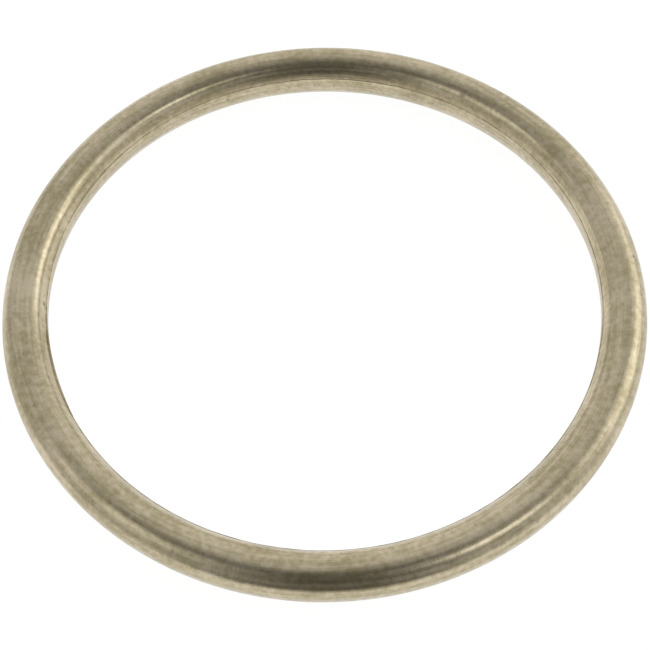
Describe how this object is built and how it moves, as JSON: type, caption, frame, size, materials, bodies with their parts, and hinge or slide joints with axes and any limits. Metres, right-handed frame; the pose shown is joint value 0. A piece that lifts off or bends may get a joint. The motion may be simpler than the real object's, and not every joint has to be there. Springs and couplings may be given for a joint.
{
  "type": "exhaust gasket",
  "caption": "Exhaust gasket: a hollow ring of bent sheet steel with a round crown, a narrow flat seat and a lapped seam on its bore side.",
  "frame": {"origin": "on the axis of the ring, in the plane of the seat that the ring lies on", "axes": "+Z along the axis of the ring, from the seat towards the round crown; X and Y lie in the plane of the seat"},
  "size_m": [0.0762, 0.0762, 0.0063],
  "materials": {
    "sheet_steel": "satin, bare, with a warm tint"
  },
  "bodies": {
    "root": {"gasket_ring": "sheet_steel"}
  },
  "joints": []
}
